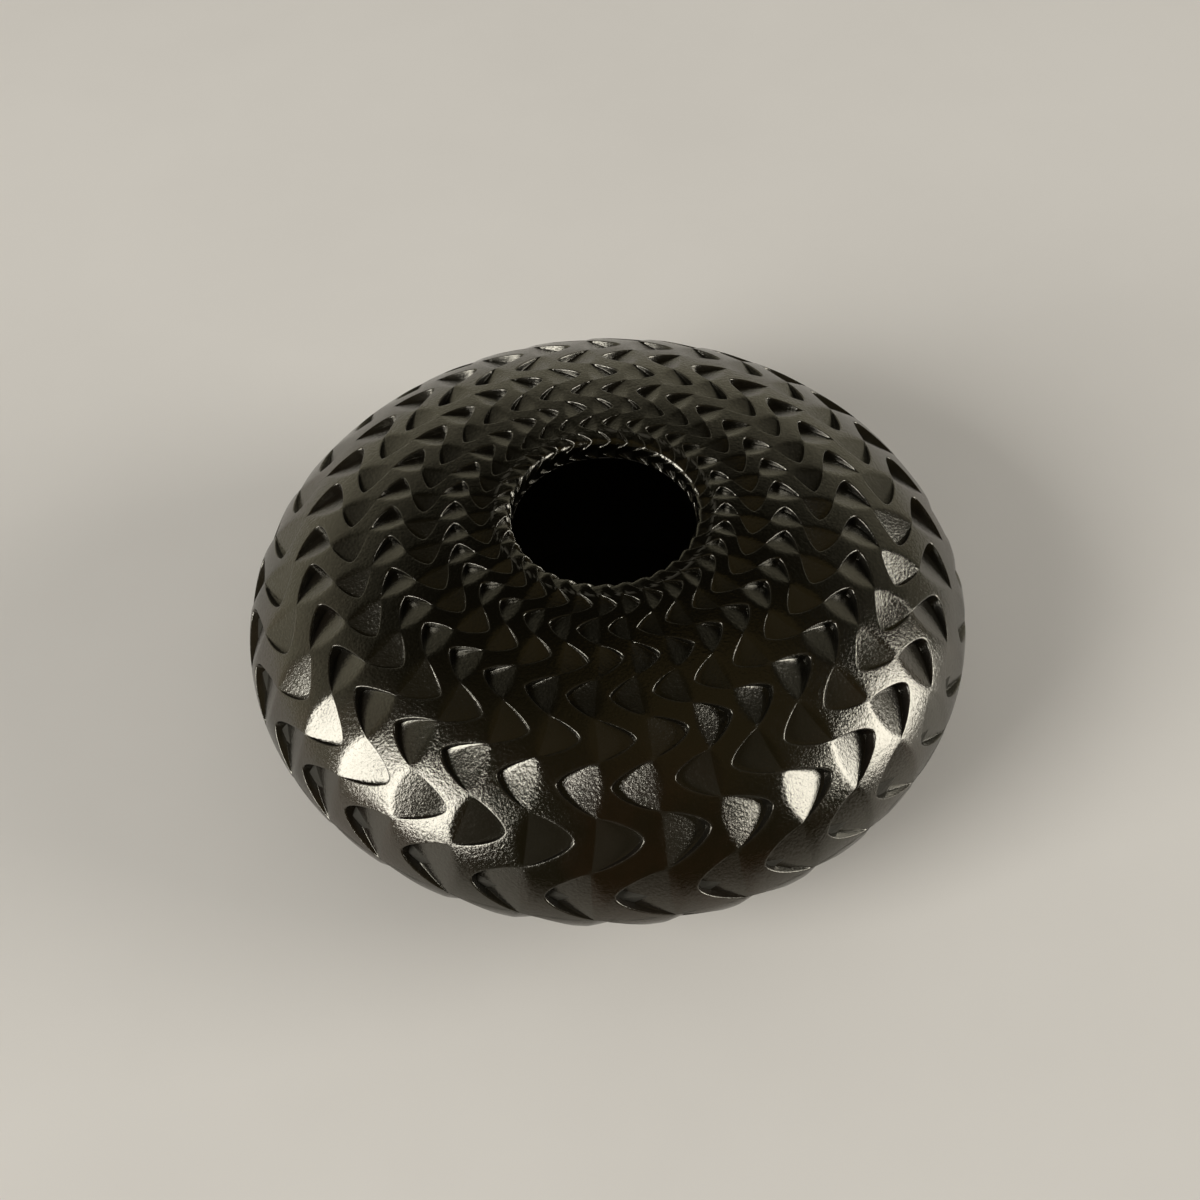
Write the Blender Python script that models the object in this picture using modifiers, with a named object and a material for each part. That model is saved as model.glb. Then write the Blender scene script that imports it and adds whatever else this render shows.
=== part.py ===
# A squat, closed black vase with a small round mouth, carved all over.
# Rows of scooped facets run round it and each row leans the other way, so the clay left
# standing between the cuts runs from the lip to the base as one long wave, repeated round the pot.
# Metres, +Z up. The origin is on the table, under the middle of the pot.

import math

import bmesh
import bpy
import numpy as np

# The pot's outline
EQUATOR_DIAMETER = 0.180
MOUTH_DIAMETER = 0.0442
BASE_DIAMETER = 0.090           # where the carving ends and the base slab begins
FOOT_DIAMETER = 0.084
DOME_RISE = 0.0407              # from the equator to the top of the plain dome
CROWN_DISH = 0.0058             # how far the crown is let down at its middle
CROWN_DISH_DIAMETER = 0.135
BOWL_DROP = 0.0335              # from the equator to where the bowl's curve would close
ROUNDNESS = 1.9                 # 2 makes the outline an ellipse, less makes it leaner
FOOT_HEIGHT = 0.0025

# Clay thicknesses and joints
WALL = 0.006
LIP_WIDTH = 0.0041              # how far the lip ring reaches out from the mouth
LIP_ROUND = 0.0016
LIP_LAP = 0.0018
SEAM_LAP = 0.005
BASE_LAP = 0.005
FOOT_WIDTH = 0.005
FOOT_ROUND = 0.0008
COIL_HEIGHT = 0.014
COIL_BULGE = 0.0028
COIL_EDGE = 0.0008
SLIP = 0.0003                   # the layer of slip in each joint

# The carving
REPEATS = 33                    # facets in one row
ROWS_ABOVE = 8                  # rows from the lip ring to the equator
ROWS_BELOW = 5                  # rows from the equator to the base slab
ROW_GROWTH = 2.23               # how many times as tall the equator's row is as the lip's
FIRST_CHORD = math.radians(-93.18)
REACH = 0.70                    # how far a cut reaches towards the next one, of their spacing
TIP_HEIGHT = 0.46               # where in its row the tip lies, from the top
CUT_FULLNESS = 0.9              # 1 makes a cut's edge a sine curve, less makes it blunter
CUT_SLOPE = 0.165               # fall of a facet for each unit that it runs
WALL_LEAN = 0.07                # how much shorter than its edge a facet's floor is

# How finely the shapes are drawn
CUT_STEPS = 4
SHELL_STEPS = 12
COIL_STEPS = 6
FOOT_STEPS = 3
PROFILE_STEPS = 400
SAME_POINT = 0.00005

EQUATOR_RADIUS = EQUATOR_DIAMETER / 2
MOUTH_RADIUS = MOUTH_DIAMETER / 2
BASE_RADIUS = BASE_DIAMETER / 2
FOOT_RADIUS = FOOT_DIAMETER / 2
LIP_JOINT_RADIUS = MOUTH_RADIUS + LIP_WIDTH
PITCH = 2 * math.pi / REPEATS
TURNED_STEPS = 2 * REPEATS
HALF_SLIP = SLIP / 2


def curve_share(radius):
    # Height of the plain outline at a radius, as a share of its height on the axis
    return (1 - (radius / EQUATOR_RADIUS) ** ROUNDNESS) ** (1 / ROUNDNESS)


def crown_dish(radius):
    return CROWN_DISH * max(0.0, 1 - 2 * radius / CROWN_DISH_DIAMETER) ** 2


EQUATOR_Z = FOOT_HEIGHT + BOWL_DROP * curve_share(FOOT_RADIUS)


def dome_z(radius):
    return EQUATOR_Z + DOME_RISE * curve_share(radius) - crown_dish(radius)


def bowl_z(radius):
    return EQUATOR_Z - BOWL_DROP * curve_share(radius)


def outline_angle(radius):
    return math.acos((radius / EQUATOR_RADIUS) ** (ROUNDNESS / 2))


def outline_point(angle):
    # One point of the outline: angle runs from the axis above, past 0 at the equator, to below
    power = 2 / ROUNDNESS
    radius = EQUATOR_RADIUS * math.cos(angle) ** power
    share = abs(math.sin(angle)) ** power
    if angle > 0:
        return radius, EQUATOR_Z + DOME_RISE * share - crown_dish(radius)
    return radius, EQUATOR_Z - BOWL_DROP * share


def under(angle, depth):
    # The point this deep under the outline, square to it
    small = 1e-4
    r1, z1 = outline_point(angle + small)
    r2, z2 = outline_point(angle - small)
    size = math.hypot(r2 - r1, z2 - z1)
    radius, height = outline_point(angle)
    return radius + depth * (z2 - z1) / size, height - depth * (r2 - r1) / size


def inner_angle(height):
    # The angle at which the wall's inner face passes this height, between the base and the crown
    crown = outline_angle(CROWN_DISH_DIAMETER / 2)
    angles = np.linspace(-outline_angle(BASE_RADIUS), crown, PROFILE_STEPS)
    return np.interp(height, [under(angle, WALL)[1] for angle in angles], angles)


def inner_face(start, end):
    return [under(angle, WALL) for angle in np.linspace(start, end, SHELL_STEPS)]


def lip_points():
    # The quarter round from the throat up to the flat of the crown
    centre = MOUTH_RADIUS + LIP_ROUND
    centre_z = dome_z(centre) - LIP_ROUND
    turns = np.linspace(math.pi, math.pi / 2, PROFILE_STEPS // 10, endpoint=False)
    return [(centre + LIP_ROUND * math.cos(t), centre_z + LIP_ROUND * math.sin(t)) for t in turns]


def outline_points(start, end):
    return [outline_point(angle) for angle in np.linspace(start, end, PROFILE_STEPS)]


class Outline:
    # A run of the pot's outer surface, measured by the length along it from its top end
    def __init__(self, points):
        self.points = np.array(points)
        steps = np.hypot(*np.diff(self.points, axis=0).T)
        self.lengths = np.concatenate([[0.0], np.cumsum(steps)])
        self.slopes = np.gradient(self.points, self.lengths, axis=0)

    def length(self):
        return self.lengths[-1]

    def at(self, length, depth=0.0):
        # Radius and height of the point this far along, and this deep under the surface
        radius, height = (np.interp(length, self.lengths, self.points[:, k]) for k in (0, 1))
        run, fall = (np.interp(length, self.lengths, self.slopes[:, k]) for k in (0, 1))
        size = math.hypot(run, fall)
        return radius + depth * fall / size, height - depth * run / size


def polar(radius, height, angle):
    turned = FIRST_CHORD + angle
    return radius * math.cos(turned), radius * math.sin(turned), height


def strip(bm, left, right, top_middle=None, bottom_middle=None):
    # Faces between two columns of vertices that run down the pot
    last = len(left) - 2
    for i in range(last + 1):
        corners = [left[i], left[i + 1]]
        if bottom_middle and i == last:
            corners.append(bottom_middle)
        corners += [right[i + 1], right[i]]
        if top_middle and i == 0:
            corners.append(top_middle)
        bm.faces.new(corners)


def cut_reach(v):
    # The curved edge of a cut: angle from its straight side at a share v of the row's height
    skew = math.log(0.5) / math.log(TIP_HEIGHT)
    return REACH * PITCH * max(0.0, math.sin(math.pi * v ** skew)) ** CUT_FULLNESS


def carve_row(bm, outline, top, bottom, leans_right):
    # One repeat of one row: a facet that falls away from its straight side, the small wall
    # at its curved edge, and the ribbon of uncut clay from there to the next facet
    straight, edge, floor, far = [], [], [], []
    for i in range(CUT_STEPS + 1):
        v = i / CUT_STEPS
        length = top + (bottom - top) * v
        radius, height = outline.at(length)
        reach = cut_reach(v)
        floor_reach = reach * (1 - WALL_LEAN)
        floor_point = outline.at(length, CUT_SLOPE * floor_reach * radius)
        side = 1 if leans_right else -1
        start = 0.0 if leans_right else PITCH
        straight.append(bm.verts.new(polar(radius, height, start)))
        far.append(bm.verts.new(polar(radius, height, start + side * PITCH)))
        edge.append(bm.verts.new(polar(radius, height, start + side * reach)))
        floor.append(bm.verts.new(polar(*floor_point, start + side * floor_reach)))
    middles = [bm.verts.new(polar(*outline.at(end), PITCH / 2)) for end in (top, bottom)]
    if leans_right:
        strip(bm, straight, floor)
        strip(bm, floor, edge)
        strip(bm, edge, far, *middles)
    else:
        strip(bm, far, edge, *middles)
        strip(bm, edge, floor)
        strip(bm, floor, straight)


def plain_run(bm, path):
    # One repeat of the plain faces, along a path of radii and heights that joins the carving's ends
    left, right = ([bm.verts.new(polar(*point, angle)) for point in path] for angle in (0.0, PITCH))
    middles = [bm.verts.new(polar(*end, PITCH / 2)) for end in (path[0], path[-1])]
    strip(bm, left, right, *middles)


def row_ends(length, weights):
    # Where rows of these relative heights begin and end along a length
    ends = np.concatenate([[0.0], np.cumsum(weights)])
    return ends * length / ends[-1]


def row_weights():
    return np.linspace(1.0, ROW_GROWTH, ROWS_ABOVE)


def material(name, colour, roughness, metallic):
    made = bpy.data.materials.new(name)
    made.use_nodes = True
    made.diffuse_color = (*colour, 1.0)
    shader = made.node_tree.nodes["Principled BSDF"]
    shader.inputs["Base Color"].default_value = (*colour, 1.0)
    shader.inputs["Roughness"].default_value = roughness
    shader.inputs["Metallic"].default_value = metallic
    return made


def add_object(name, mesh, look, collection):
    made = bpy.data.objects.new(name, mesh)
    mesh.materials.append(look)
    mesh.shade_smooth()
    mesh.set_sharp_from_angle(angle=math.radians(35))
    collection.objects.link(made)
    return made


def carved_piece(name, bm, look, collection, turn_step):
    # A repeat of the carved wall, closed round the pot by an array that turns each copy
    bmesh.ops.remove_doubles(bm, verts=bm.verts[:], dist=SAME_POINT / 10)
    mesh = bpy.data.meshes.new(name)
    bm.to_mesh(mesh)
    bm.free()
    piece = add_object(name, mesh, look, collection)
    ring = piece.modifiers.new("Round the pot", "ARRAY")
    ring.count = REPEATS
    ring.use_relative_offset = False
    ring.use_object_offset = True
    ring.offset_object = turn_step
    ring.use_merge_vertices = True
    ring.use_merge_vertices_cap = True
    ring.merge_threshold = SAME_POINT
    return piece


def turned_piece(name, path, closed, steps, look, collection):
    # A piece turned from a profile that runs down its outer side
    count = len(path)
    edges = [(i, i + 1) for i in range(count - 1)]
    if closed:
        edges.append((count - 1, 0))
    mesh = bpy.data.meshes.new(name)
    mesh.from_pydata([(radius, 0.0, height) for radius, height in path], edges, [])
    piece = add_object(name, mesh, look, collection)
    piece.rotation_euler.z = FIRST_CHORD
    turn = piece.modifiers.new("Turned", "SCREW")
    turn.steps = steps
    turn.render_steps = steps
    turn.use_merge_vertices = True
    turn.merge_threshold = SAME_POINT
    return piece


def lip_ring(look, collection, turn_step):
    # The ring that ends the pot at its mouth: one row of cuts runs over its rounded edge
    joint = LIP_JOINT_RADIUS - HALF_SLIP
    start = outline_angle(MOUTH_RADIUS + LIP_ROUND)
    outline = Outline(lip_points() + outline_points(start, outline_angle(joint)))
    throat_foot = dome_z(MOUTH_RADIUS + LIP_ROUND) - WALL
    step = dome_z(LIP_JOINT_RADIUS) - WALL / 2 + HALF_SLIP
    ledge = LIP_JOINT_RADIUS - LIP_LAP - HALF_SLIP
    bm = bmesh.new()
    carve_row(bm, outline, 0.0, outline.length(), leans_right=False)
    plain_run(bm, [
        outline.at(outline.length()),
        (joint, step),
        (ledge, step),
        (ledge, throat_foot),
        (MOUTH_RADIUS, throat_foot),
        outline.at(0.0),
    ])
    return carved_piece("lip_ring", bm, look, collection, turn_step)


def upper_shell(look, collection, turn_step):
    # The carved dome, from a ledge under the lip ring down to the joint at the equator
    ledge_angle = outline_angle(LIP_JOINT_RADIUS + HALF_SLIP)
    outline = Outline(outline_points(ledge_angle, 0.0))
    bottom = EQUATOR_Z + HALF_SLIP
    seam_length = np.interp(-bottom, -outline.points[:, 1], outline.lengths)
    ends = row_ends(seam_length, row_weights())
    ledge = LIP_JOINT_RADIUS - LIP_LAP + HALF_SLIP
    ledge_top = dome_z(LIP_JOINT_RADIUS) - WALL / 2 - HALF_SLIP
    tongue = EQUATOR_RADIUS - WALL / 2 + HALF_SLIP
    tongue_top = EQUATOR_Z + SEAM_LAP + HALF_SLIP
    bm = bmesh.new()
    for row in range(ROWS_ABOVE):
        carve_row(bm, outline, ends[row], ends[row + 1], leans_right=row % 2 == 0)
    plain_run(bm, [
        outline.at(seam_length),
        (tongue, bottom),
        (tongue, tongue_top),
        *inner_face(inner_angle(tongue_top), ledge_angle),
        (ledge, dome_z(LIP_JOINT_RADIUS) - WALL),
        (ledge, ledge_top),
        (LIP_JOINT_RADIUS + HALF_SLIP, ledge_top),
        outline.at(0.0),
    ])
    return carved_piece("upper_shell", bm, look, collection, turn_step)


def lower_shell(look, collection, turn_step):
    # The carved bowl: a tongue stands up inside the dome, and its foot laps over the base slab
    outline = Outline(outline_points(0.0, -outline_angle(BASE_RADIUS + HALF_SLIP)))
    top = EQUATOR_Z - HALF_SLIP
    seam_length = np.interp(-top, -outline.points[:, 1], outline.lengths)
    weights = row_weights()[::-1][:ROWS_BELOW]
    ends = seam_length + row_ends(outline.length() - seam_length, weights)
    first = ROWS_ABOVE % 2
    tongue = EQUATOR_RADIUS - WALL / 2 - HALF_SLIP
    tongue_top = EQUATOR_Z + SEAM_LAP - HALF_SLIP
    lap = BASE_RADIUS - BASE_LAP + HALF_SLIP
    bm = bmesh.new()
    for row in range(ROWS_BELOW):
        carve_row(bm, outline, ends[row], ends[row + 1], leans_right=row % 2 == first)
    plain_run(bm, [
        outline.at(outline.length()),
        (BASE_RADIUS + HALF_SLIP, base_step() + HALF_SLIP),
        (lap, base_step() + HALF_SLIP),
        (lap, floor_z()),
        *inner_face(-outline_angle(BASE_RADIUS), 0.0),
        under(inner_angle(tongue_top), WALL),
        (tongue, tongue_top),
        (tongue, top),
        outline.at(seam_length),
    ])
    return carved_piece("lower_shell", bm, look, collection, turn_step)


def base_step():
    # Height of the step in the joint between the bowl and the base slab
    return bowl_z(BASE_RADIUS) + WALL / 2


def floor_z():
    # The floor inside is level with the end of the bowl's lap
    return bowl_z(BASE_RADIUS - BASE_LAP) + WALL


def base_slab(look, collection):
    # The slab that the bowl stands on: its rim goes on with the bowl's curve down to the foot
    rim = BASE_RADIUS - HALF_SLIP
    step = base_step() - HALF_SLIP
    shoulder = BASE_RADIUS - BASE_LAP - HALF_SLIP
    path = [
        (0.0, floor_z()),
        (shoulder, floor_z()),
        (shoulder, step),
        (rim, step),
        (rim, bowl_z(rim)),
        (FOOT_RADIUS, FOOT_HEIGHT),
        (0.0, FOOT_HEIGHT),
    ]
    return turned_piece("base_slab", path, False, TURNED_STEPS, look, collection)


def foot_ring(look, collection):
    # The low ring that the pot stands on, rounded where it meets the table
    top = FOOT_HEIGHT - SLIP
    inside = FOOT_RADIUS - FOOT_WIDTH
    path = [(FOOT_RADIUS, top)]
    for turn in np.linspace(0.0, math.pi / 2, FOOT_STEPS):
        path.append((
            FOOT_RADIUS - FOOT_ROUND + FOOT_ROUND * math.cos(turn),
            FOOT_ROUND - FOOT_ROUND * math.sin(turn),
        ))
    for turn in np.linspace(math.pi / 2, math.pi, FOOT_STEPS):
        path.append((
            inside + FOOT_ROUND + FOOT_ROUND * math.cos(turn),
            FOOT_ROUND - FOOT_ROUND * math.sin(turn),
        ))
    path.append((inside, top))
    return turned_piece("foot_ring", path, True, TURNED_STEPS, look, collection)


def seam_coil(look, collection):
    # The coil of clay pressed over the joint inside the pot
    seam = EQUATOR_Z + SEAM_LAP
    top = inner_angle(seam + COIL_HEIGHT / 2)
    bottom = inner_angle(seam - COIL_HEIGHT / 2)
    angles = np.linspace(top, bottom, COIL_STEPS)
    back = [under(angle, WALL + SLIP) for angle in angles]
    front = []
    for share, angle in zip(np.linspace(1, -1, COIL_STEPS), angles[::-1]):
        swell = COIL_BULGE * (1 - share ** 2)
        front.append(under(angle, WALL + SLIP + COIL_EDGE + swell))
    return turned_piece("seam_coil", back + front, True, REPEATS, look, collection)


def new_collection(name):
    made = bpy.data.collections.new(name)
    bpy.context.scene.collection.children.link(made)
    return made


def main():
    for old in list(bpy.data.objects):
        bpy.data.objects.remove(old, do_unlink=True)
    vase = new_collection("carved_vase")
    guides = new_collection("guides")
    turn_step = bpy.data.objects.new("turn_step", None)
    turn_step.rotation_euler.z = PITCH
    turn_step.hide_render = True
    guides.objects.link(turn_step)

    glaze = ((0.030, 0.029, 0.026), 0.34, 0.75)
    bare = ((0.060, 0.052, 0.046), 0.85, 0.0)
    lip_ring(material("lip_glaze", *glaze), vase, turn_step)
    upper_shell(material("upper_glaze", *glaze), vase, turn_step)
    lower_shell(material("lower_glaze", *glaze), vase, turn_step)
    seam_coil(material("seam_clay", *bare), vase)
    base_slab(material("base_glaze", *glaze), vase)
    foot_ring(material("foot_clay", *bare), vase)


main()
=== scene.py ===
# A squat black vase, carved all over: its fine surface, finishes, light and camera
# Metres, +Z up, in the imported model's own frame

import math

import bmesh
import bpy
import numpy as np
from mathutils import Matrix, Vector


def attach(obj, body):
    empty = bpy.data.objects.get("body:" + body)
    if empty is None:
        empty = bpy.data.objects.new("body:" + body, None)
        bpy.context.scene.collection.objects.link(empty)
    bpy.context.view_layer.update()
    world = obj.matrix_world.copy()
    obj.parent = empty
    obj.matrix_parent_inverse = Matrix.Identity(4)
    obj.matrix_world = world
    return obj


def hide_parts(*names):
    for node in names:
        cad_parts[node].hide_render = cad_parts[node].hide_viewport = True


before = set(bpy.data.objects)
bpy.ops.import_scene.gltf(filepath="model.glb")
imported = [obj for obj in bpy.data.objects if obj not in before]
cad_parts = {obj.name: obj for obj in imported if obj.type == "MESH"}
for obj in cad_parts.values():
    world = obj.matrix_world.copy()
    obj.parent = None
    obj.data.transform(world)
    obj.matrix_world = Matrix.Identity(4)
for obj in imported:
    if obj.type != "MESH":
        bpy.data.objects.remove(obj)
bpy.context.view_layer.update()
print("frame loaded:", len(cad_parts), "nodes")

potShape = {
    "equatorRadius": 0.090,
    "mouthRadius": 0.0221,
    "baseRadius": 0.045,
    "footRadius": 0.042,
    "domeRise": 0.0407,
    "crownDish": 0.0058,  # how far the crown is let down at its middle
    "crownDishRadius": 0.0675,
    "bowlDrop": 0.0335,
    "roundness": 1.9,
    "footHeight": 0.0025,
    "wall": 0.006,
    "lipWidth": 0.0041,
    "lipRound": 0.0016,
    "lipLap": 0.0018,
    "seamLap": 0.005,
    "baseLap": 0.005,
    "slip": 0.0003,
    "inset": 0.00014,  # keeps the uneven hand-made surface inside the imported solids
}
profilePoints = {"throat": 20, "edge": 40, "wall": 1600}


def domeShare(radius):
    # Height of the plain outline at a radius, as a share of its height on the axis
    power = potShape["roundness"]
    return (1 - (radius / potShape["equatorRadius"]) ** power) ** (1 / power)


def crownLetDown(radius):
    return potShape["crownDish"] * np.maximum(0.0, 1 - radius / potShape["crownDishRadius"]) ** 2


equatorHeight = potShape["footHeight"] + potShape["bowlDrop"] * domeShare(potShape["footRadius"])


def domeHeight(radius):
    return equatorHeight + potShape["domeRise"] * domeShare(radius) - crownLetDown(radius)


def bowlHeight(radius):
    return equatorHeight - potShape["bowlDrop"] * domeShare(radius)


def outlineAngle(radius):
    return math.acos((radius / potShape["equatorRadius"]) ** (potShape["roundness"] / 2))


def outlinePoints(angles):
    # Radius and height for angles that run from the axis above, past 0 at the equator, to below
    power = 2 / potShape["roundness"]
    radius = potShape["equatorRadius"] * np.cos(angles) ** power
    share = np.abs(np.sin(angles)) ** power
    above = equatorHeight + potShape["domeRise"] * share - crownLetDown(radius)
    below = equatorHeight - potShape["bowlDrop"] * share
    return np.column_stack([radius, np.where(angles > 0, above, below)])


class Outline:
    # The pot's profile from low in the throat, over the lip, to the base, by length along it
    def __init__(self):
        mouth, lip = potShape["mouthRadius"], potShape["lipRound"]
        lipCentre = domeHeight(mouth + lip) - lip
        throatFoot = lipCentre + lip - potShape["wall"]
        turns = np.linspace(math.pi, math.pi / 2, profilePoints["edge"], endpoint=False)
        heights = np.linspace(throatFoot, lipCentre, profilePoints["throat"], endpoint=False)
        throat = [(mouth, height) for height in heights]
        edge = [(mouth + lip + lip * math.cos(turn), lipCentre + lip * math.sin(turn)) for turn in turns]
        ends = outlineAngle(mouth + lip), -outlineAngle(potShape["baseRadius"])
        angles = np.linspace(*ends, profilePoints["wall"])
        points = np.vstack([throat, edge, outlinePoints(angles)])
        steps = np.hypot(*np.diff(points, axis=0).T)
        self.lengths = np.concatenate([[0.0], np.cumsum(steps)])
        self.lengths -= self.lengths[len(throat)]  # 0 where the throat starts to turn into the lip
        self.points = points
        slopes = np.gradient(points, self.lengths, axis=0)
        slopes /= np.linalg.norm(slopes, axis=1)[:, None]
        self.outward = np.column_stack([-slopes[:, 1], slopes[:, 0]])

    def at(self, length, depth=0.0):
        # Radius and height this far along and this deep under the surface
        radius, height, outR, outZ = (
            np.interp(length, self.lengths, column)
            for column in (*self.points.T, *self.outward.T)
        )
        return radius - depth * outR, height - depth * outZ

    def lengthAtRadius(self, radius):
        # On the dome, above the equator
        equator = np.argmax(self.points[:, 0])
        start = np.argmax(self.lengths > 0.0)
        return np.interp(radius, self.points[start:equator, 0], self.lengths[start:equator])

    def equatorLength(self):
        return self.lengths[np.argmax(self.points[:, 0])]


outline = Outline()

carving = {
    "repeats": 33,
    "rowsAbove": 8,
    "rowsBelow": 5,
    "rowGrowth": 2.23,  # how many times as tall the equator's row is as the lip's
    "firstChord": math.radians(-93.18),
    "throatRow": potShape["wall"] - potShape["lipRound"],  # how far down the throat the first row starts
    "lipRow": 0.0011,  # how far the lip's cuts reach down into the throat
    "reach": 0.71,  # how far a cut reaches towards the next one, of their spacing
    "tipHeight": 0.46,
    "fullness": 0.9,
    "tent": (0.50, 0.10),  # how much cuts are pointed rather than round, at the lip and at the equator
    "slope": 0.220,  # fall of a facet for each unit that it runs
    "steeper": (1.40, 1.00),  # how much steeper facets are at the lip, and at the equator
    "flatness": 0.034,  # how much flatter a facet is than the pot, of its height
    "lean": 0.028,  # how much shorter than its edge a facet's floor is
    "creaseRound": 0.00008,
    "floorRound": 0.00014,
    "topRound": 0.00038,
    "roundReach": 0.12,  # the most of a cut's reach that a rounding takes
    "floorRoundDepth": 0.4,  # and of its depth
    "topRoundDepth": 0.45,
    "creaseFade": 1.6,  # how soon a ribbon's crease begins to deepen
    "rimMark": 0.35,  # the share of rim wear that reaches onto the ribbon
    "nodeSway": 0.030,  # unevenness of the hand's spacing
    "reachSway": 0.045,
    "slopeSway": 0.10,
    "tipSway": 0.02,
    "swell": 0.00009,  # low waves of the hand-shaped wall
    "swellWaves": 14,
    "swellTurn": 130.0,  # radians a metre
    "swellGain": 2.2,
    "stepHeight": 0.00085,  # of the mesh, down a row
    "steps": (7, 16),  # the fewest and the most in a row
    "seed": 11,
}
carveRandom = np.random.default_rng(carving["seed"])
pitch = 2 * math.pi / carving["repeats"]
facetShares = np.array([0.0, 0.05, 0.12, 0.22, 0.36, 0.55, 0.76, 1.0])
rimShares = (0.0, 0.35, 0.7, 1.0)
ribbonShares = np.array([0.06, 0.14, 0.25, 0.40, 0.60, 0.75, 0.86, 0.94, 1.0])


def rowRings():
    # Lengths along the outline where each row of cuts begins, from the throat to the base
    seam = outline.lengthAtRadius(potShape["mouthRadius"] + potShape["lipWidth"])
    weights = np.linspace(1.0, carving["rowGrowth"], carving["rowsAbove"])
    above = np.concatenate([[0.0], np.cumsum(weights)])
    above = seam + above * (outline.equatorLength() - seam) / above[-1]
    below = np.concatenate([[0.0], np.cumsum(weights[::-1][:carving["rowsBelow"]])])
    below = below * (outline.lengths[-1] - outline.equatorLength()) / below[-1]
    return np.concatenate([[-carving["throatRow"], -carving["lipRow"]], above, above[-1] + below[1:]])


rings = rowRings()
rowCount = len(rings) - 1
lipSeam, equatorSeam = 2, 2 + carving["rowsAbove"]  # the rings where the clay pieces meet


def sway(rows, amount):
    return carveRandom.normal(0.0, amount, (rows, carving["repeats"])).clip(-2 * amount, 2 * amount)


def carvingNodes():
    # Where neighbouring cuts meet, ring by ring: azimuth and length along the outline
    repeats = np.arange(carving["repeats"]) + sway(rowCount + 1, carving["nodeSway"])
    azimuth = carving["firstChord"] + pitch * repeats
    heights = np.diff(rings)
    near = np.minimum(np.concatenate([heights[:1], heights]), np.concatenate([heights, heights[-1:]]))
    length = rings[:, None] + near[:, None] * sway(rowCount + 1, carving["nodeSway"])
    for ring in (0, lipSeam, equatorSeam, rowCount):
        length[ring] = rings[ring]
    return azimuth, length


nodeAzimuth, nodeLength = carvingNodes()
cellReach = carving["reach"] * (1 + sway(rowCount, carving["reachSway"]))
cellSlope = carving["slope"] * (1 + sway(rowCount, carving["slopeSway"]))
cellTip = carving["tipHeight"] + sway(rowCount, carving["tipSway"])


def neighbours(values):
    # The next repeat's value for each repeat, closed round the pot
    return np.roll(values, -1, axis=-1)


def facetFloor(run, slope, bow, blend):
    # Depth of a cut's floor: it leaves the surface softly near its chord and falls away from there
    fall = slope * run + bow
    return (fall + np.sqrt(fall ** 2 + blend ** 2)) / 2


def rowPlaces(row, down, across):
    # Azimuth and length along the outline of each point, between the meeting points at the row's corners
    corners = []
    for values, full in ((nodeAzimuth, 2 * math.pi), (nodeLength, 0.0)):
        left = values[row][:, None] * (1 - down) + values[row + 1][:, None] * down
        right = neighbours(values[row])[:, None] * (1 - down) + neighbours(values[row + 1])[:, None] * down
        right[-1] += full  # the last repeat closes on the first
        corners.append(left[:, :, None] * (1 - across) + right[:, :, None] * across)
    return corners


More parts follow.
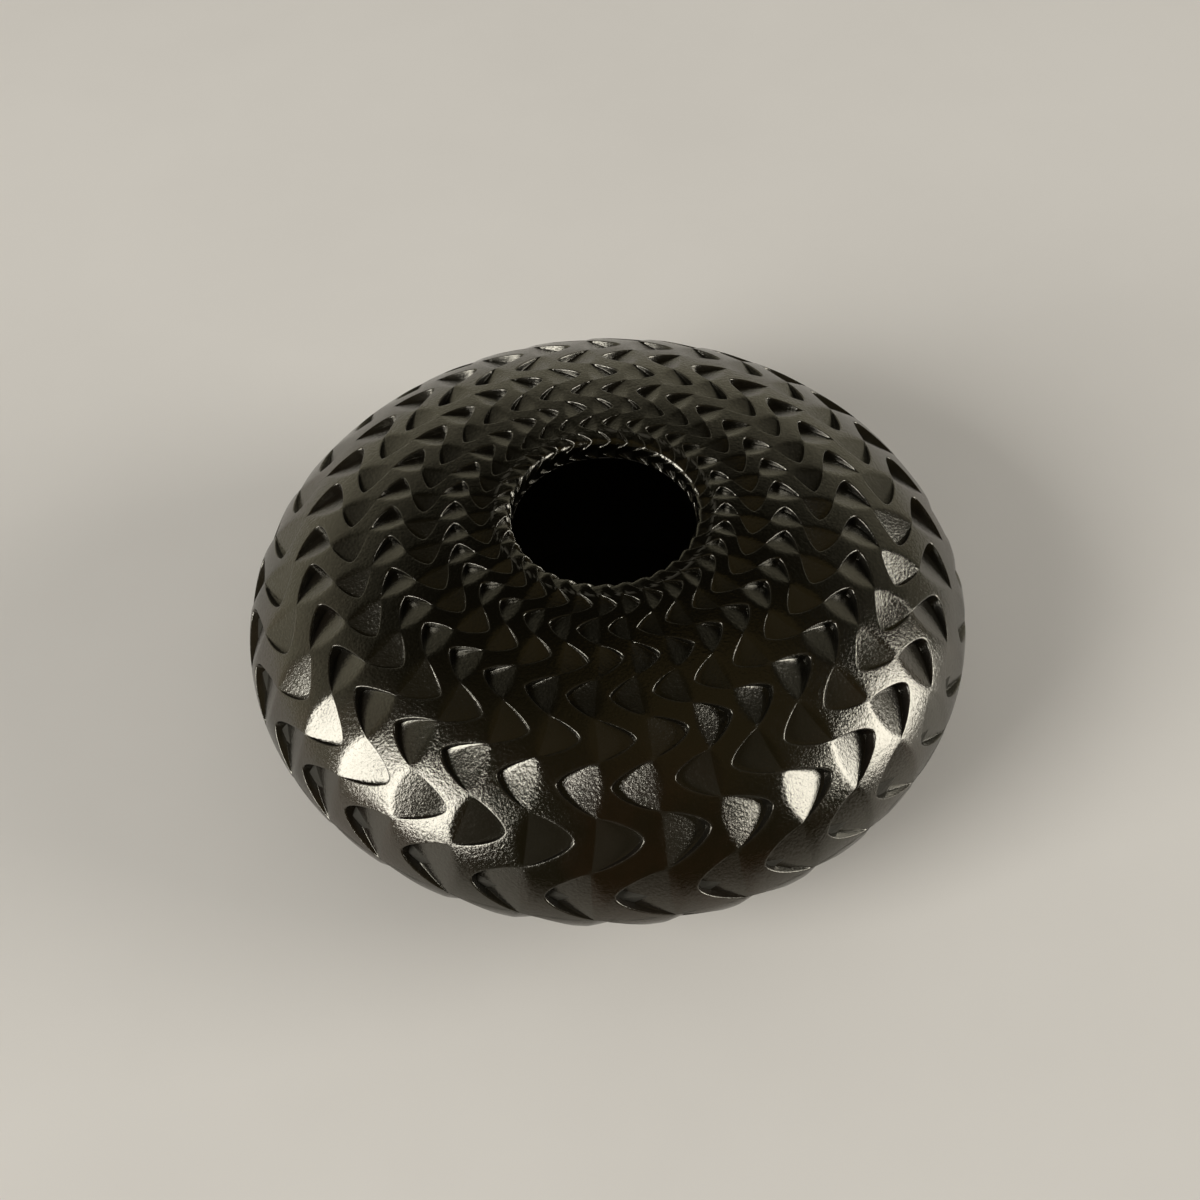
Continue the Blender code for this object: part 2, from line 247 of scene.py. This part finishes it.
def carveRow(row, steps):
    # Points of one row all round the pot: repeats, steps down, columns across
    leansRight = row % 2 == 0
    heightHere = rings[row + 1] - rings[row]
    down = np.linspace(0.0, 1.0, steps + 1)
    arch = np.clip(4 * down * (1 - down), 0, 1)[None, :]
    along = down[None, :] ** (math.log(0.5) / np.log(cellTip[row])[:, None])
    tent = np.interp(row, (lipSeam, equatorSeam), carving["tent"])
    rounded = np.clip(np.sin(math.pi * along), 0, 1) ** carving["fullness"]
    reach = cellReach[row][:, None] * (rounded * (1 - tent) + (1 - np.abs(2 * along - 1)) * tent)
    middle = (nodeLength[row] + neighbours(nodeLength[row])) / 2
    middleEnd = (nodeLength[row + 1] + neighbours(nodeLength[row + 1])) / 2
    spacing = pitch * outline.at(middle[:, None] * (1 - down) + middleEnd[:, None] * down)[0]
    edge = reach * spacing
    steeper = np.interp(row, (lipSeam, equatorSeam), carving["steeper"])
    slope = steeper * cellSlope[row][:, None] * np.ones_like(edge)
    bow = carving["flatness"] * heightHere * arch
    blend = carving["creaseRound"] * np.sqrt(arch)
    floorEnd = edge * (1 - carving["lean"])
    deep = facetFloor(floorEnd, slope, bow, blend)
    mostRound = carving["roundReach"] * edge
    floorRound = np.minimum(np.minimum(carving["floorRound"], mostRound), carving["floorRoundDepth"] * deep)
    topRound = np.minimum(np.minimum(carving["topRound"], mostRound), carving["topRoundDepth"] * deep)
    wallLength = np.hypot(edge - floorEnd, deep) + 1e-9
    runs, depths, carved, rim = [], [], [], []

    def column(run, depth, inCut, onRim):
        runs.append(run)
        depths.append(depth)
        carved.append(np.full_like(run, inCut))
        rim.append(np.full_like(run, onRim))

    for share in facetShares:
        run = share * (floorEnd - floorRound)
        column(run, facetFloor(run, slope, bow, blend), 0.0 if share == 0 else 1.0, 0.0)
    lowRun, lowDepth = runs[-1], depths[-1]
    climb = floorRound / wallLength
    upRun = floorEnd + (edge - floorEnd) * climb
    upDepth = deep * (1 - climb)
    # The middle of the rounding where the floor turns up into the wall
    turnRun = 0.25 * lowRun + 0.5 * floorEnd + 0.25 * upRun
    turnDepth = 0.25 * lowDepth + 0.5 * deep + 0.25 * upDepth
    column(turnRun, turnDepth, 1.0, 0.0)
    column(upRun, upDepth, 1.0, 0.0)
    drop = topRound / wallLength
    for share in rimShares:
        before, corner, after = (1 - share) ** 2, 2 * share * (1 - share), share ** 2
        column(
            before * (edge - (edge - floorEnd) * drop) + corner * edge + after * (edge + topRound),
            before * deep * drop,
            0.5,
            1.0 - 0.5 * share,
        )
    start = edge + topRound
    step = 1 if leansRight else -1
    nextSlope = steeper * np.roll(cellSlope[row], -step)[:, None]
    for share in ribbonShares:
        run = start + (spacing - start) * share
        near = min(1.0, carving["creaseFade"] * share)
        fade = near ** 2 * (3 - 2 * near)
        crease = facetFloor(run - spacing, nextSlope, bow, blend) * fade
        column(run, crease, 0.0, carving["rimMark"] if share == ribbonShares[0] else 0.0)
    across = np.stack(runs, axis=2) / spacing[:, :, None]
    depth, carved, rim = (np.stack(values, axis=2) for values in (depths, carved, rim))
    if not leansRight:
        across, depth, carved, rim = (values[:, :, ::-1] for values in (1 - across, depth, carved, rim))
    azimuth, length = rowPlaces(row, down, across)
    return azimuth, length, depth, carved, rim


swellWaves = carveRandom.normal(0.0, 1.0, (carving["swellWaves"], 3)) * carving["swellTurn"]
swellPhases = carveRandom.uniform(0.0, 2 * math.pi, carving["swellWaves"])


def handSwell(points):
    # Low uneven waves, as a hand-built wall has
    waves = np.sin(points @ swellWaves.T + swellPhases).mean(axis=1)
    return carving["swell"] * waves * carving["swellGain"]


def onPot(azimuth, length, depth):
    # Points at these azimuths and lengths along the outline, this deep under the uneven surface
    radius, height = outline.at(length)
    plain = np.stack([radius * np.cos(azimuth), radius * np.sin(azimuth), height], axis=-1)
    uneven = handSwell(plain.reshape(-1, 3)).reshape(azimuth.shape)
    radius, height = outline.at(length, depth + potShape["inset"] - uneven)
    return np.stack([radius * np.cos(azimuth), radius * np.sin(azimuth), height], axis=-1)


meshing = {"joinDistance": 2e-6, "sharpAngle": math.radians(42)}


class Patchwork:
    # Grids of points gathered into one mesh, with the marks that the finishes read
    marks = ("cut", "rim", "inner")

    def __init__(self):
        self.points, self.faces, self.values = [], [], []
        self.count = 0

    def grid(self, points, cut, rim, inner):
        # points: grids, rows down, columns across
        grids, rows, columns = points.shape[:3]
        index = self.count + np.arange(grids * rows * columns).reshape(grids, rows, columns)
        upper, lower = index[:, :-1], index[:, 1:]
        faces = np.stack([upper[..., :-1], lower[..., :-1], lower[..., 1:], upper[..., 1:]], axis=-1)
        self.points.append(points.reshape(-1, 3))
        self.faces.append(faces.reshape(-1, 4))
        marks = [np.broadcast_to(value, points.shape[:3]).reshape(-1) for value in (cut, rim, inner)]
        self.values.append(np.column_stack(marks))
        self.count += grids * rows * columns

    def mesh(self, name):
        made = bpy.data.meshes.new(name)
        made.from_pydata(np.vstack(self.points).tolist(), [], np.vstack(self.faces).tolist())
        values = np.vstack(self.values)
        for number, mark in enumerate(self.marks):
            layer = made.attributes.new(mark, "FLOAT", "POINT")
            layer.data.foreach_set("value", values[:, number].astype(np.float32))
        work = bmesh.new()
        work.from_mesh(made)
        bmesh.ops.remove_doubles(work, verts=work.verts[:], dist=meshing["joinDistance"])
        work.to_mesh(made)
        work.free()
        return made


def addPiece(name, mesh, look, slot, *nodes):
    piece = bpy.data.objects.new(name, mesh)
    mesh.materials.append(look)
    mesh.shade_smooth()
    mesh.set_sharp_from_angle(angle=meshing["sharpAngle"])
    bpy.context.scene.collection.objects.link(piece)
    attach(piece, "root")
    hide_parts(*nodes)
    print(name, len(mesh.polygons), "faces")


def carvedSkin(patch, firstRow, lastRow):
    for row in range(firstRow, lastRow):
        steps = np.clip(round((rings[row + 1] - rings[row]) / carving["stepHeight"]), *carving["steps"])
        azimuth, length, depth, carved, rim = carveRow(row, int(steps))
        patch.grid(onPot(azimuth, length, depth), carved, rim, 0.0)


def seamColumns(ring):
    # Azimuths of the carved skin's edge at a ring, repeat by repeat
    shares = np.concatenate([[0.0], ribbonShares])
    left = nodeAzimuth[ring]
    right = neighbours(nodeAzimuth[ring]).copy()
    right[-1] += 2 * math.pi
    return left[:, None] * (1 - shares) + right[:, None] * shares


def innerRun(patch, path, lastRing, firstRing):
    # The faces inside a carved piece, along radii and heights from its lower edge to its upper
    shares = np.linspace(0.0, 1.0, len(path) + 2)[None, :, None]
    start, end = seamColumns(lastRing)[:, None, :], seamColumns(firstRing)[:, None, :]
    azimuth = start * (1 - shares) + end * shares
    edges = [onPot(columns[:, 0], np.full_like(columns[:, 0], rings[ring]), 0.0)[:, None]
             for columns, ring in ((start, lastRing), (end, firstRing))]
    radius, height = (np.array(column)[None, :, None] for column in zip(*path))
    inside = azimuth[:, 1:-1]
    middle = np.stack([radius * np.cos(inside), radius * np.sin(inside), height + 0 * inside], axis=-1)
    patch.grid(np.concatenate([edges[0], middle, edges[1]], axis=1), 0.0, 0.0, 1.0)


joints = {
    "halfSlip": potShape["slip"] / 2,
    "lip": potShape["mouthRadius"] + potShape["lipWidth"],
    "seamTop": equatorHeight + potShape["seamLap"],
    "baseStep": bowlHeight(potShape["baseRadius"]) + potShape["wall"] / 2,
    "floor": bowlHeight(potShape["baseRadius"] - potShape["baseLap"]) + potShape["wall"],
}
insideFinish = {"points": 30, "fingerRidge": 0.00022, "ridgeSpacing": 0.0075, "floorGap": 0.0004}


def insideWall(fromLength, toLength, lowest=-1.0, highest=1.0):
    # The wall's inner face between two lengths along the outline, with a potter's finger ridges
    lengths = np.linspace(fromLength, toLength, insideFinish["points"])
    ridge = insideFinish["fingerRidge"] * np.sin(2 * math.pi * lengths / insideFinish["ridgeSpacing"])
    radius, height = outline.at(lengths, potShape["wall"] - np.abs(ridge))
    kept = (height > lowest) & (height < highest)
    return list(zip(radius[kept], height[kept]))


def lipPiece(look):
    half, joint = joints["halfSlip"], joints["lip"]
    crown = domeHeight(joint)
    foot = domeHeight(potShape["mouthRadius"] + potShape["lipRound"]) - potShape["wall"]
    ledge = joint - potShape["lipLap"] - half
    patch = Patchwork()
    carvedSkin(patch, 0, lipSeam)
    innerRun(patch, [
        (joint - half, crown - potShape["wall"] / 2 + half),
        (ledge, crown - potShape["wall"] / 2 + half),
        (ledge, foot),
    ], lipSeam, 0)
    addPiece("lip_ring_carved", patch.mesh("lipRing"), look, "lip_glaze", "lip_ring")


def upperPiece(look):
    half, joint = joints["halfSlip"], joints["lip"]
    tongue = potShape["equatorRadius"] - potShape["wall"] / 2 + half
    ledge = joint - potShape["lipLap"] + half
    ledgeTop = domeHeight(joint) - potShape["wall"] / 2 - half
    patch = Patchwork()
    carvedSkin(patch, lipSeam, equatorSeam)
    innerRun(patch, [
        (tongue, equatorHeight + half),
        (tongue, joints["seamTop"] + half),
        *insideWall(rings[equatorSeam], rings[lipSeam], lowest=joints["seamTop"] + half),
        (ledge, domeHeight(joint) - potShape["wall"]),
        (ledge, ledgeTop),
        (joint + half, ledgeTop),
    ], equatorSeam, lipSeam)
    addPiece("upper_shell_carved", patch.mesh("upperShell"), look, "body_glaze", "upper_shell")


def lowerPiece(look):
    half = joints["halfSlip"]
    tongue = potShape["equatorRadius"] - potShape["wall"] / 2 - half
    lap = potShape["baseRadius"] - potShape["baseLap"] + half
    patch = Patchwork()
    carvedSkin(patch, equatorSeam, rowCount)
    innerRun(patch, [
        (potShape["baseRadius"] + half, joints["baseStep"] + half),
        (lap, joints["baseStep"] + half),
        (lap, joints["floor"]),
        *insideWall(rings[rowCount], rings[equatorSeam] - 2 * potShape["seamLap"],
                    lowest=joints["floor"] + insideFinish["floorGap"], highest=joints["seamTop"] - half),
        (tongue, joints["seamTop"] - half),
        (tongue, equatorHeight - half),
    ], rowCount, equatorSeam)
    addPiece("lower_shell_carved", patch.mesh("lowerShell"), look, "body_glaze", "lower_shell")


def turnedPatch(patch, path, steps, cut=0.0, inner=0.0, wobble=0.0):
    # A turned surface along radii and heights that run down its outer side
    azimuth = np.linspace(0.0, 2 * math.pi, steps + 1)
    radius, height = (np.array(column)[:, None] for column in zip(*path))
    # Three and seven waves round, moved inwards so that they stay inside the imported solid
    uneven = wobble * (np.sin(3 * azimuth + 1.0) + np.sin(7 * azimuth + 160 * height) - 1.4) / 3.4
    radius = np.maximum(radius + uneven, 0.0) * np.where(radius > 0, 1, 0)
    points = np.stack([radius * np.cos(azimuth), radius * np.sin(azimuth), height + 0 * radius], axis=-1)
    patch.grid(points[None], cut, 0.0, inner)


baseFinish = {
    "steps": 198,
    "floorPoints": 12,
    "rimPoints": 12,
    "clearance": 0.00005,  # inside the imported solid
    "dish": 0.0006,
    "toolLines": 26,
    "toolDepth": 0.00007,
}


def basePiece(look):
    half = joints["halfSlip"]
    rim = potShape["baseRadius"] - half - baseFinish["clearance"]
    shoulder = potShape["baseRadius"] - potShape["baseLap"] - half
    step = joints["baseStep"] - half
    under = potShape["footHeight"]
    patch = Patchwork()
    inside = [(radius, joints["floor"]) for radius in np.linspace(0.0, shoulder, baseFinish["floorPoints"])]
    turnedPatch(patch, [*inside, (shoulder, step), (rim, step)], baseFinish["steps"], inner=1.0)
    radii = np.linspace(rim, potShape["footRadius"], baseFinish["rimPoints"])
    outside = [(radius, max(bowlHeight(radius), under)) for radius in radii]
    turnedPatch(patch, [(rim, step), *outside], baseFinish["steps"])
    spread = np.linspace(potShape["footRadius"], 0.0, 4 * baseFinish["toolLines"])
    share = spread / potShape["footRadius"]
    lines = baseFinish["toolDepth"] * (0.5 - 0.5 * np.cos(2 * math.pi * baseFinish["toolLines"] * share))
    heights = under + baseFinish["dish"] * (1 - share ** 2) + lines
    heights[0] = under
    turnedPatch(patch, list(zip(spread, heights)), baseFinish["steps"], cut=0.3, inner=1.0)
    addPiece("base_slab_turned", patch.mesh("baseSlab"), look, "body_glaze", "base_slab")


footFinish = {
    "width": 0.005,
    "round": 0.0009,
    "roundPoints": 7,
    "topEdge": 0.0006,
    "clearance": 0.00005,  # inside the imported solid
    "steps": 198,
    "wobble": 0.00008,
}


def footPiece(look):
    top = potShape["footHeight"] - potShape["slip"]
    outer = potShape["footRadius"] - footFinish["clearance"]
    inner = potShape["footRadius"] - footFinish["width"]
    path = [(outer, top), (outer, top - footFinish["topEdge"])]
    curve = footFinish["round"]
    for turn in np.linspace(0.0, math.pi / 2, footFinish["roundPoints"]):
        path.append((outer - curve + curve * math.cos(turn), curve - curve * math.sin(turn)))
    for turn in np.linspace(math.pi / 2, math.pi, footFinish["roundPoints"]):
        path.append((inner + curve + curve * math.cos(turn), curve - curve * math.sin(turn)))
    path += [(inner, top), (outer, top)]
    patch = Patchwork()
    turnedPatch(patch, path, footFinish["steps"], wobble=footFinish["wobble"])
    addPiece("foot_ring_turned", patch.mesh("footRing"), look, "bare_clay", "foot_ring")


coilFinish = {
    "height": 0.014,
    "edge": 0.0008,
    "bulge": 0.0024,
    "pressings": 44,
    "press": (0.72, 0.28),  # the middle of the bulge and how far a thumb moves it
    "pressLean": 3.5,
    "points": 12,
    "steps": 264,
    "searchPoints": 900,
}


def coilPiece(look):
    # A rolled coil of clay, pressed on with a thumb at even steps
    lengths = np.linspace(rings[lipSeam], rings[rowCount], coilFinish["searchPoints"])
    wallHeights = outline.at(lengths, potShape["wall"])[1]
    halfHeight = coilFinish["height"] / 2
    ends = [np.interp(-joints["seamTop"] - side * halfHeight, -wallHeights, lengths) for side in (1, -1)]
    along = np.linspace(*ends, coilFinish["points"])
    azimuth = np.linspace(0.0, 2 * math.pi, coilFinish["steps"] + 1)[None, :]
    backDepth = potShape["wall"] + potShape["slip"]
    back = np.stack(outline.at(along, backDepth), axis=-1)
    share = np.linspace(-1, 1, coilFinish["points"])[:, None]
    middle, move = coilFinish["press"]
    press = middle + move * np.cos(coilFinish["pressings"] * azimuth + coilFinish["pressLean"] * share)
    depth = backDepth + coilFinish["edge"] + coilFinish["bulge"] * (1 - share ** 2) * press
    front = outline.at(np.broadcast_to(along[:, None], depth.shape), depth)
    behind = [np.broadcast_to(back[:, number][:, None], depth.shape) for number in (0, 1)]
    radius, height = (
        np.concatenate([hidden, shown[::-1], hidden[:1]]) for hidden, shown in zip(behind, front)
    )
    points = np.stack([radius * np.cos(azimuth), radius * np.sin(azimuth), height], axis=-1)
    patch = Patchwork()
    patch.grid(points[None], 0.0, 0.0, 1.0)
    addPiece("seam_coil_pressed", patch.mesh("seamCoil"), look, "inner_clay", "seam_coil")


class Wire:
    # A shader socket with arithmetic: an expression on wires adds its Math nodes
    def __init__(self, tree, socket=None):
        self.tree = tree
        self.socket = socket

    def feed(self, node, sockets):
        # Wires are linked to a node's sockets, plain values set on them
        for name, value in sockets.items():
            if isinstance(value, Wire):
                self.tree.links.new(value.socket, node.inputs[name])
            else:
                node.inputs[name].default_value = value

    def node(self, kind, settings=None, sockets=None, output=0):
        made = self.tree.nodes.new(kind)
        for name, value in (settings or {}).items():
            setattr(made, name, value)
        self.feed(made, sockets or {})
        return Wire(self.tree, made.outputs[output])

    def math(self, operation, *values):
        return self.node("ShaderNodeMath", {"operation": operation}, dict(enumerate(values)))

    def __add__(self, other):
        return self.math("ADD", self, other)

    def __radd__(self, other):
        return self.math("ADD", other, self)

    def __sub__(self, other):
        return self.math("SUBTRACT", self, other)

    def __rsub__(self, other):
        return self.math("SUBTRACT", other, self)

    def __mul__(self, other):
        return self.math("MULTIPLY", self, other)

    def __rmul__(self, other):
        return self.math("MULTIPLY", other, self)

    def between(self, low, high):
        # 0 below low, 1 above high, smooth between them
        return self.node("ShaderNodeMapRange", {"interpolation_type": "SMOOTHSTEP"},
                         {"Value": self, "From Min": low, "From Max": high})

    def spot(self):
        # The point on the piece, in metres
        return self.node("ShaderNodeTexCoord", output="Object")

    def part(self, axis):
        # One of a vector's three numbers
        return self.node("ShaderNodeSeparateXYZ", None, {"Vector": self}, output=axis)

    def ray(self, kind):
        return self.node("ShaderNodeLightPath", output=kind)

    def noise(self, scale, detail, sharpness=0.5):
        return self.node("ShaderNodeTexNoise", None,
                         {"Vector": self.spot(), "Scale": scale, "Detail": detail, "Roughness": sharpness})

    def mark(self, name):
        return self.node("ShaderNodeAttribute", {"attribute_name": name}, output="Fac")

    def mix(self, first, second, share):
        # Colour going from first to second as share goes from 0 to 1
        sockets = {0: share, 6: first, 7: second}
        return self.node("ShaderNodeMix", {"data_type": "RGBA"}, sockets, output=2)


def paint(red, green, blue):
    return (red, green, blue, 1.0)


def newLook(name):
    look = bpy.data.materials.new(name)
    look.use_nodes = True
    shader = look.node_tree.nodes["Principled BSDF"]
    return look, shader, Wire(look.node_tree)


glaze = {
    "black": paint(0.0011, 0.0009, 0.0004),
    "paintedBrownReflection": paint(0.0092, 0.0031, 0.0012),  # painted reflection: the brown that the glaze mirrors from the room in front, in patches low on the pot
    "scraped": paint(0.0125, 0.0118, 0.0098),  # the floor of a cut, paler than the ribbons
    "worn": paint(0.0150, 0.0130, 0.0095),
    "inside": paint(0.0030, 0.0026, 0.0020),
    "ior": 2.0,
    "sheen": paint(1.0, 0.970, 0.86),
    "ribbonRoughness": 0.160,
    "cutRoughness": 0.200,
    "rimRoughness": 0.08,  # added at the rims
    "insideRoughness": 0.75,
    "patchScale": 26.0,
    "patchEdges": (0.42, 0.66),
    "reflectionShare": 0.8,
    "reflectionHeights": (0.048, 0.063),  # full below, none above
    "scrapedShare": 0.65,
    "paintedShadeFade": 0.55,  # less of it above: painted shade, where the glaze mirrors a dark room high on the pot
    "paintedShadeHeights": (0.046, 0.064),
    "speckScale": 420.0,
    "speckEdges": (0.35, 0.62),
    "speckRoughness": 0.08,
    "grains": ((2600.0, 0.048), (4200.0, 0.042)),  # grains to a metre, and their tilt
    "pitScale": 1400.0,
    "pitDepth": 0.000085,
}


def grainNormal(wire):
    # Each grain of the graphite lies at its own small tilt, so highlights break up into sparks
    spot = wire.spot()
    normal = wire.node("ShaderNodeNewGeometry", output="Normal")
    for scale, tilt in glaze["grains"]:
        grain = wire.node("ShaderNodeTexVoronoi", None, {"Vector": spot, "Scale": scale}, output="Color")
        lean = wire.node("ShaderNodeVectorMath", {"operation": "MULTIPLY_ADD"},
                         {0: grain, 1: (tilt, tilt, tilt), 2: (-tilt / 2, -tilt / 2, -tilt / 2)})
        normal = wire.node("ShaderNodeVectorMath", {"operation": "ADD"}, {0: normal, 1: lean})
    return wire.node("ShaderNodeVectorMath", {"operation": "NORMALIZE"}, {0: normal})


def glazeLook(name, wear):
    look, shader, wire = newLook(name)
    height = wire.spot().part("Z")
    # Painted reflection: brown patches, kept low on the pot
    patches = wire.noise(glaze["patchScale"], detail=4.0, sharpness=0.6).between(*glaze["patchEdges"])
    patches = patches * (1 - height.between(*glaze["reflectionHeights"]))
    # Painted shade: the paler floor of a cut gives way to black high on the pot
    scraped = glaze["scrapedShare"] - height.between(*glaze["paintedShadeHeights"]) * glaze["paintedShadeFade"]
    specks = wire.noise(glaze["speckScale"], detail=3.0, sharpness=0.7)
    cut, rim, inner = (wire.mark(mark) for mark in Patchwork.marks)
    colour = wire.mix(glaze["black"], glaze["paintedBrownReflection"], patches * glaze["reflectionShare"])
    colour = wire.mix(colour, glaze["scraped"], cut * scraped)
    colour = wire.mix(colour, glaze["worn"], rim * specks.between(*glaze["speckEdges"]) * wear)
    colour = wire.mix(colour, glaze["inside"], inner)
    outside = glaze["ribbonRoughness"] + (glaze["cutRoughness"] - glaze["ribbonRoughness"]) * cut
    outside = outside + (specks - 0.5) * glaze["speckRoughness"] + rim * glaze["rimRoughness"]
    roughness = outside + (glaze["insideRoughness"] - outside) * inner
    bump = wire.node("ShaderNodeBump", None, {
        "Strength": 1.0,
        "Distance": glaze["pitDepth"],
        "Height": wire.noise(glaze["pitScale"], detail=3.0, sharpness=0.6),
        "Normal": grainNormal(wire),
    })
    wire.feed(shader, {"Base Color": colour, "Roughness": roughness, "Normal": bump})
    wire.feed(shader, {"IOR": glaze["ior"], "Specular Tint": glaze["sheen"]})
    return look


clay = {
    "dark": paint(0.040, 0.034, 0.029),
    "pale": paint(0.085, 0.074, 0.062),
    "patchScale": 60.0,
    "patchEdges": (0.35, 0.70),
    "gritScale": 900.0,
    "gritDepth": 0.00012,
    "roughness": 0.78,
    "gritRoughness": 0.2,
    "ior": 1.5,
}


def clayLook(name, dull):
    look, shader, wire = newLook(name)
    patches = wire.noise(clay["patchScale"], detail=4.0, sharpness=0.6).between(*clay["patchEdges"])
    grit = wire.noise(clay["gritScale"], detail=3.0, sharpness=0.6)
    colour = wire.mix(clay["dark"], clay["pale"], patches * (1 - dull))
    bump = wire.node("ShaderNodeBump", None, {
        "Strength": 1.0,
        "Distance": clay["gritDepth"],
        "Height": grit,
    })
    roughness = clay["roughness"] + grit * clay["gritRoughness"]
    wire.feed(shader, {"Base Color": colour, "Roughness": roughness, "Normal": bump, "IOR": clay["ior"]})
    return look


bodyLook = glazeLook("graphite_glaze", wear=0.40)
lipLook = glazeLook("graphite_glaze_lip", wear=0.55)
print("glazes made")
lipPiece(lipLook)
upperPiece(bodyLook)
lowerPiece(bodyLook)
coilPiece(clayLook("inner_clay", dull=0.9))
basePiece(bodyLook)
footPiece(clayLook("bare_clay", dull=0.2))

studio = {
    "floorRadius": 1.6,
    "floorPale": paint(0.765, 0.741, 0.701),
    "floorDim": paint(0.738, 0.714, 0.675),
    "floorFrontShade": paint(0.105, 0.083, 0.052),  # painted shade: the floor before the pot, dark only where the pot mirrors it
    "floorFrontEdge": (-0.30, 0.0),
    "floorPatchScale": 6.0,
    "floorPatchEdges": (0.3, 0.7),
    "floorRoughness": 0.62,
    "floorGrain": 0.2,
    "floorGrainScale": 40.0,
    "fill": paint(0.255, 0.248, 0.232),
    "backdrop": paint(0.575, 0.553, 0.515),
    "roomPale": paint(0.650, 0.604, 0.452),
    "roomDark": paint(0.009, 0.0075, 0.0045),
    "roomFront": paint(0.054, 0.042, 0.018),
    "roomAbove": paint(0.094, 0.070, 0.031),
    "wallTop": (-0.27, 0.78),  # the pale wall is full below, gone above
    "wallSideRise": 0.15,  # and reaches higher at the sides
    "wallTowards": (-0.25, 0.6),  # right and back
    "wallEdge": (-0.3, 0.5),
    "frontTowards": (-0.8, 0.3),  # back and up
    "frontEdge": (-0.2, 0.6),
    "aboveTowards": (0.35, 0.12, 0.93),  # right, front and up
    "aboveEdge": (0.84, 0.98),
    "lampDistance": 3.6,
    "lamps": {
        "left softbox": {
            "azimuth": -57.8, "elevation": 26.4, "width": 1.88, "height": 1.80, "watts": 109.0,
            "colour": (1.0, 0.975, 0.925),
        },
        "right softbox": {
            "azimuth": 85.5, "elevation": 16.0, "width": 1.92, "height": 1.70, "watts": 90.0,
            "colour": (1.0, 0.965, 0.895),
        },
    },
}


def addFloor():
    bpy.ops.mesh.primitive_circle_add(vertices=128, radius=studio["floorRadius"], fill_type="NGON")
    floor = bpy.context.object
    floor.name = "floor"
    look, shader, wire = newLook("pale_floor")
    patches = wire.noise(studio["floorPatchScale"], detail=5.0, sharpness=0.6)
    colour = wire.mix(studio["floorPale"], studio["floorDim"], patches.between(*studio["floorPatchEdges"]))
    # Painted shade seen only in reflections: the floor before the pot is dark to glossy rays
    front = 1 - wire.spot().part("Y").between(*studio["floorFrontEdge"])
    colour = wire.mix(colour, studio["floorFrontShade"], wire.ray("Is Glossy Ray") * front)
    grain = wire.noise(studio["floorGrainScale"], detail=4.0)
    roughness = studio["floorRoughness"] + grain * studio["floorGrain"]
    wire.feed(shader, {"Base Color": colour, "Roughness": roughness})
    floor.data.materials.append(look)


def addRoom():
    # An even fill on everything; the glaze mirrors a pale wall behind, a dark front and a faint glow above
    world = bpy.data.worlds.new("room")
    bpy.context.scene.world = world
    world.use_nodes = True
    wire = Wire(world.node_tree)
    direction = wire.node("ShaderNodeTexCoord", output="Generated")
    across, back, up = (direction.part(axis) for axis in "XYZ")
    low = 1 - (up - across * across * studio["wallSideRise"]).between(*studio["wallTop"])
    wallRight, wallBack = studio["wallTowards"]
    behind = (back * wallBack + across * wallRight).between(*studio["wallEdge"])
    frontBack, frontUp = studio["frontTowards"]
    ahead = (up * frontUp + back * frontBack).between(*studio["frontEdge"])
    aboveRight, aboveFront, aboveUp = studio["aboveTowards"]
    above = (across * aboveRight - back * aboveFront + up * aboveUp).between(*studio["aboveEdge"])
    mirrored = wire.mix(studio["roomDark"], studio["roomFront"], ahead)
    mirrored = wire.mix(mirrored, studio["roomAbove"], above)
    mirrored = wire.mix(mirrored, studio["roomPale"], low * behind)
    colour = wire.mix(studio["fill"], mirrored, wire.ray("Is Glossy Ray"))
    colour = wire.mix(colour, studio["backdrop"], wire.ray("Is Camera Ray"))
    wire.feed(world.node_tree.nodes["Background"], {"Color": colour})


def addLamp(name, azimuth, elevation, width, height, watts, colour):
    turn, rise = math.radians(azimuth), math.radians(elevation)
    toLamp = Vector((math.sin(turn) * math.cos(rise), -math.cos(turn) * math.cos(rise), math.sin(rise)))
    lamp = bpy.data.lights.new(name, "AREA")
    lamp.shape = "RECTANGLE"
    lamp.size, lamp.size_y = width, height
    lamp.energy = watts
    lamp.color = colour
    holder = bpy.data.objects.new(name, lamp)
    holder.location = toLamp * studio["lampDistance"] + Vector((0, 0, equatorHeight))
    holder.rotation_euler = (-toLamp).to_track_quat("-Z", "Y").to_euler()
    bpy.context.scene.collection.objects.link(holder)


addFloor()
addRoom()
for lampName, lamp in studio["lamps"].items():
    addLamp(lampName, **lamp)
print("studio lit")

photoView = {
    "elevation": math.radians(51.17),
    "roll": math.radians(-1.98),
    "distance": 0.450,  # from the middle of the equator
    "focalPixels": 1775.5,
    "picturePixels": 1200,
    "equatorPixel": (606.94, 605.06),
}


def addCamera():
    lens = bpy.data.cameras.new("camera")
    half = photoView["picturePixels"] / 2
    lens.sensor_width = 36.0
    lens.lens = lens.sensor_width * photoView["focalPixels"] / photoView["picturePixels"]
    lens.shift_x = (half - photoView["equatorPixel"][0]) / photoView["picturePixels"]
    lens.shift_y = (photoView["equatorPixel"][1] - half) / photoView["picturePixels"]
    rise, roll = photoView["elevation"], photoView["roll"]
    back = Vector((0.0, -math.cos(rise), math.sin(rise)))
    right = Vector((1.0, 0.0, 0.0))
    up = right.cross(-back)
    across = right * math.cos(roll) + up * math.sin(roll)
    upright = up * math.cos(roll) - right * math.sin(roll)
    camera = bpy.data.objects.new("camera", lens)
    turn = Matrix((across, upright, back)).transposed().to_4x4()
    spot = Vector((0, 0, equatorHeight)) + back * photoView["distance"]
    camera.matrix_world = Matrix.Translation(spot) @ turn
    bpy.context.scene.collection.objects.link(camera)
    bpy.context.scene.camera = camera


addCamera()
bpy.context.scene.view_settings.view_transform = "Standard"
